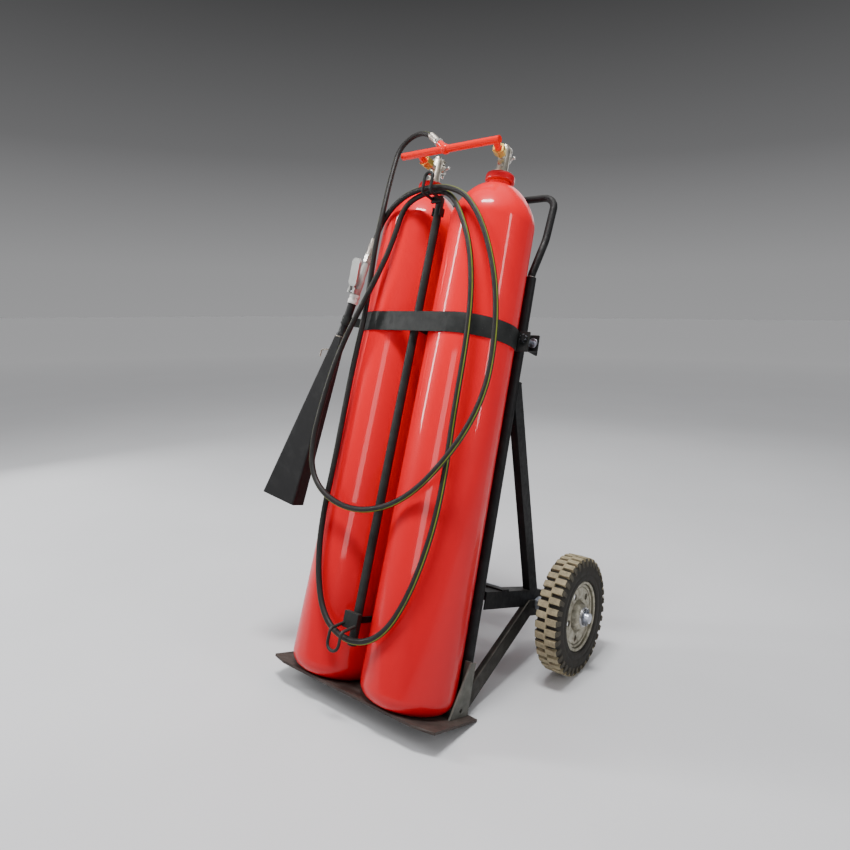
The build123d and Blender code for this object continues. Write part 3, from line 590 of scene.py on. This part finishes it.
RAIL_MOUTH = [(10.05, 1033.4), (13.4, 1033.4), (13.4, 1035.2), (12.8, 1036.0), (10.05, 1036.0)]
WELD_RADIUS, WELD_WIDTH, WELD_HEIGHT = 14.2, 1.9, 1.4
WELD_RIPPLES, WELD_SWELL, WELD_CORNERS = 26, 0.16, 8
RING_EDGE = [(34.0, 1286.2), (36.6, 1286.2), (37.2, 1287.0), (36.4, 1287.8), (34.0, 1287.8)]
LUG_X, LUG_FRONT, LUG_BACK, LUG_Z = 229.0, 54.0, 100.0, 866.0
BOLT_HEAD = [(0, 0), (10.1, 0), (10.1, 5.6), (9.0, 7.4), (0, 7.8)]
LUG_WASHER = [(5.1, 0.0), (12.5, 0.0), (12.5, 1.6), (12.0, 2.0), (5.1, 2.0)]
THROAT = [(12.7, -1.6), (14.0, -1.6), (14.4, 0.2), (14.0, 2.0), (13.4, 2.0), (12.7, 1.0)]
RED_EDGE_LOW, RED_EDGE_HIGH = Vector((-4.7, -15.2, 26.0)), Vector((-2.6, -14.4, 78.0))


def weld_bead(name, matrix):
    """A ring of overlapping ripples round Z."""
    bm = bmesh.new()
    around = 4 * WELD_RIPPLES
    rings = []
    for k in range(around):
        a = 2 * pi * k / around
        thick = WELD_WIDTH * (1.0 + WELD_SWELL * sin(WELD_RIPPLES * a))
        ring = []
        for m in range(WELD_CORNERS):
            b = 2 * pi * m / WELD_CORNERS
            r = WELD_RADIUS + thick * cos(b)
            ring.append(bm.verts.new((r * cos(a), r * sin(a), thick * sin(b))))
        rings.append(ring)
    for here, there in zip(rings, rings[1:] + rings[:1]):
        bridge(bm, here, there)
    bmesh.ops.recalc_face_normals(bm, faces=bm.faces)
    bm.transform(matrix)
    piece(name, smooth(as_mesh(name, bm), 60.0), "black")


def at_lug(sign, y):
    """Frame at this depth on the axis of the strap's bolt, with its Z forwards."""
    return along(row(sign * LUG_X, y, LUG_Z), row(sign * LUG_X, y - 8.0, LUG_Z))


def side_trim(side, sign):
    """Worn top and weld of a rail, edge of the neck ring, and the head and washer of the strap's bolt."""
    at_rail = TROLLEY @ Matrix.Translation((sign * RAIL_X, RAIL_Y, 0.0))
    turned(f"rail_mouth_{side}", RAIL_MOUTH, 48, at_rail, "worn")
    weld_bead(f"rail_weld_{side}", at_rail @ Matrix.Translation((0, 0, WELD_HEIGHT)))
    at_bottle = TROLLEY @ Matrix.Translation((sign * CYLINDER_X, 0.0, 0.0))
    turned(f"ring_edge_{side}", RING_EDGE, 64, at_bottle, "red_deep")
    in_front, behind = at_lug(sign, LUG_FRONT), at_lug(sign, LUG_BACK)
    turned(f"bolt_head_{side}", BOLT_HEAD, 6, in_front, "black", angle=20.0)
    turned(f"lug_washer_{side}", LUG_WASHER, 48, behind, "zinc")


def lever_edge():
    """Red line along one edge of the discharge lever."""
    lever = (GUN @ Matrix.Rotation(pi / 2, 4, "Z") @ Matrix.Translation(LEVER_PIVOT)
             @ Matrix.Rotation(-LEVER_OPEN, 4, "Y"))
    bm = bmesh.new()
    bmesh.ops.create_cube(bm, size=1.0)
    size = Matrix.Diagonal((*(RED_EDGE_HIGH - RED_EDGE_LOW), 1.0))
    bm.transform(lever @ Matrix.Translation((RED_EDGE_LOW + RED_EDGE_HIGH) / 2) @ size)
    piece("lever_red_edge", as_mesh("lever_red_edge", bm), "grip_edge", "lever")


make_camera()
hose_line, hose_track = hose()
on_hose = [stripe(hose_track)]
on_hose += crimps("supply_crimp", along(branch_point(0), branch_point(100)), SUPPLY_CRIMPS)
on_hose += crimps("gun_crimp", GUN, GUN_CRIMPS)
for side, sign in SIDES.items():
    wheel(side, sign)
    side_trim(side, sign)
lever_edge()
turned("horn_throat_ring", THROAT, 48, GUN, "wire")


# ------------------------------------------------------------ floor and light

# Brightness of the surroundings against the sine of the elevation: pale at the horizon, dark above it, and
# bright overhead.
SKY = ((0.0, 0.345), (0.06, 0.32), (0.22, 0.15), (0.45, 0.05), (0.74, 0.05), (0.86, 0.95), (1.0, 0.95))
FLOOR_HALF, FLOOR_PALER_FROM, FLOOR_WHITE_FROM = 80.0, 2.0, 12.0
LIT_MIDDLE = Vector((0.0, 0.0, 0.7))


def make_floor():
    """Pale floor, whiter far away so that it meets the surroundings without a line."""
    bm = bmesh.new()
    bmesh.ops.create_grid(bm, x_segments=2, y_segments=2, size=FLOOR_HALF)
    mesh = as_mesh("floor", bm)
    p = Paint("floor_matte", Roughness=0.85)
    near = p.mix(p.remap(p.noise(1.2, 3.0), 0.3, 0.7), (0.60, 0.605, 0.62), (0.64, 0.645, 0.66))
    distance = p.node("VectorMath", {0: p.where}, operation="LENGTH").outputs["Value"]
    away = p.remap(distance, FLOOR_PALER_FROM, FLOOR_WHITE_FROM)
    p.colour(p.mix(away, near, (1.0, 1.0, 1.0)))
    mesh.materials.append(p.material)
    floor = bpy.data.objects.new("floor", mesh)
    bpy.context.scene.collection.objects.link(floor)


def make_surroundings():
    """World light that depends only on the elevation."""
    world = bpy.data.worlds.new("studio")
    world.use_nodes = True
    tree = world.node_tree
    height = tree.nodes.new("ShaderNodeSeparateXYZ")
    tree.links.new(tree.nodes.new("ShaderNodeTexCoord").outputs["Generated"], height.inputs[0])
    ramp = tree.nodes.new("ShaderNodeValToRGB")
    tree.links.new(height.outputs["Z"], ramp.inputs["Fac"])
    while len(ramp.color_ramp.elements) < len(SKY):
        ramp.color_ramp.elements.new(0.5)
    for stop, (z, light) in zip(ramp.color_ramp.elements, SKY):
        stop.position = z
        stop.color = (light, light, 1.02 * light, 1.0)
    tree.links.new(ramp.outputs["Color"], tree.nodes["Background"].inputs["Color"])
    bpy.context.scene.world = world


def softbox(name, azimuth, elevation, distance, width, height, watts):
    """Area light in that direction from the object's middle (azimuth to the right of the front)."""
    a, e = radians(azimuth), radians(elevation)
    out = Vector((sin(a) * cos(e), -cos(a) * cos(e), sin(e)))
    data = bpy.data.lights.new(name, "AREA")
    data.shape = "RECTANGLE"
    data.size, data.size_y = width, height
    data.energy = watts
    light = bpy.data.objects.new(name, data)
    light.location = LIT_MIDDLE + out * distance
    light.rotation_mode = "QUATERNION"
    light.rotation_quaternion = (-out).to_track_quat("-Z", "Y")
    bpy.context.scene.collection.objects.link(light)


make_floor()
make_surroundings()
softbox("key", -60.0, 26.0, 3.2, 0.28, 1.7, 66.0)
softbox("front", 2.0, 16.0, 3.4, 0.8, 1.6, 26.0)
softbox("right_strip", 90.0, 18.0, 3.0, 0.25, 1.6, 22.0)
softbox("left_strip", -93.0, 10.0, 3.0, 0.22, 1.6, 14.0)
softbox("top", 20.0, 76.0, 3.2, 1.1, 0.4, 135.0)
softbox("back", 190.0, 30.0, 3.4, 1.8, 1.8, 20.0)
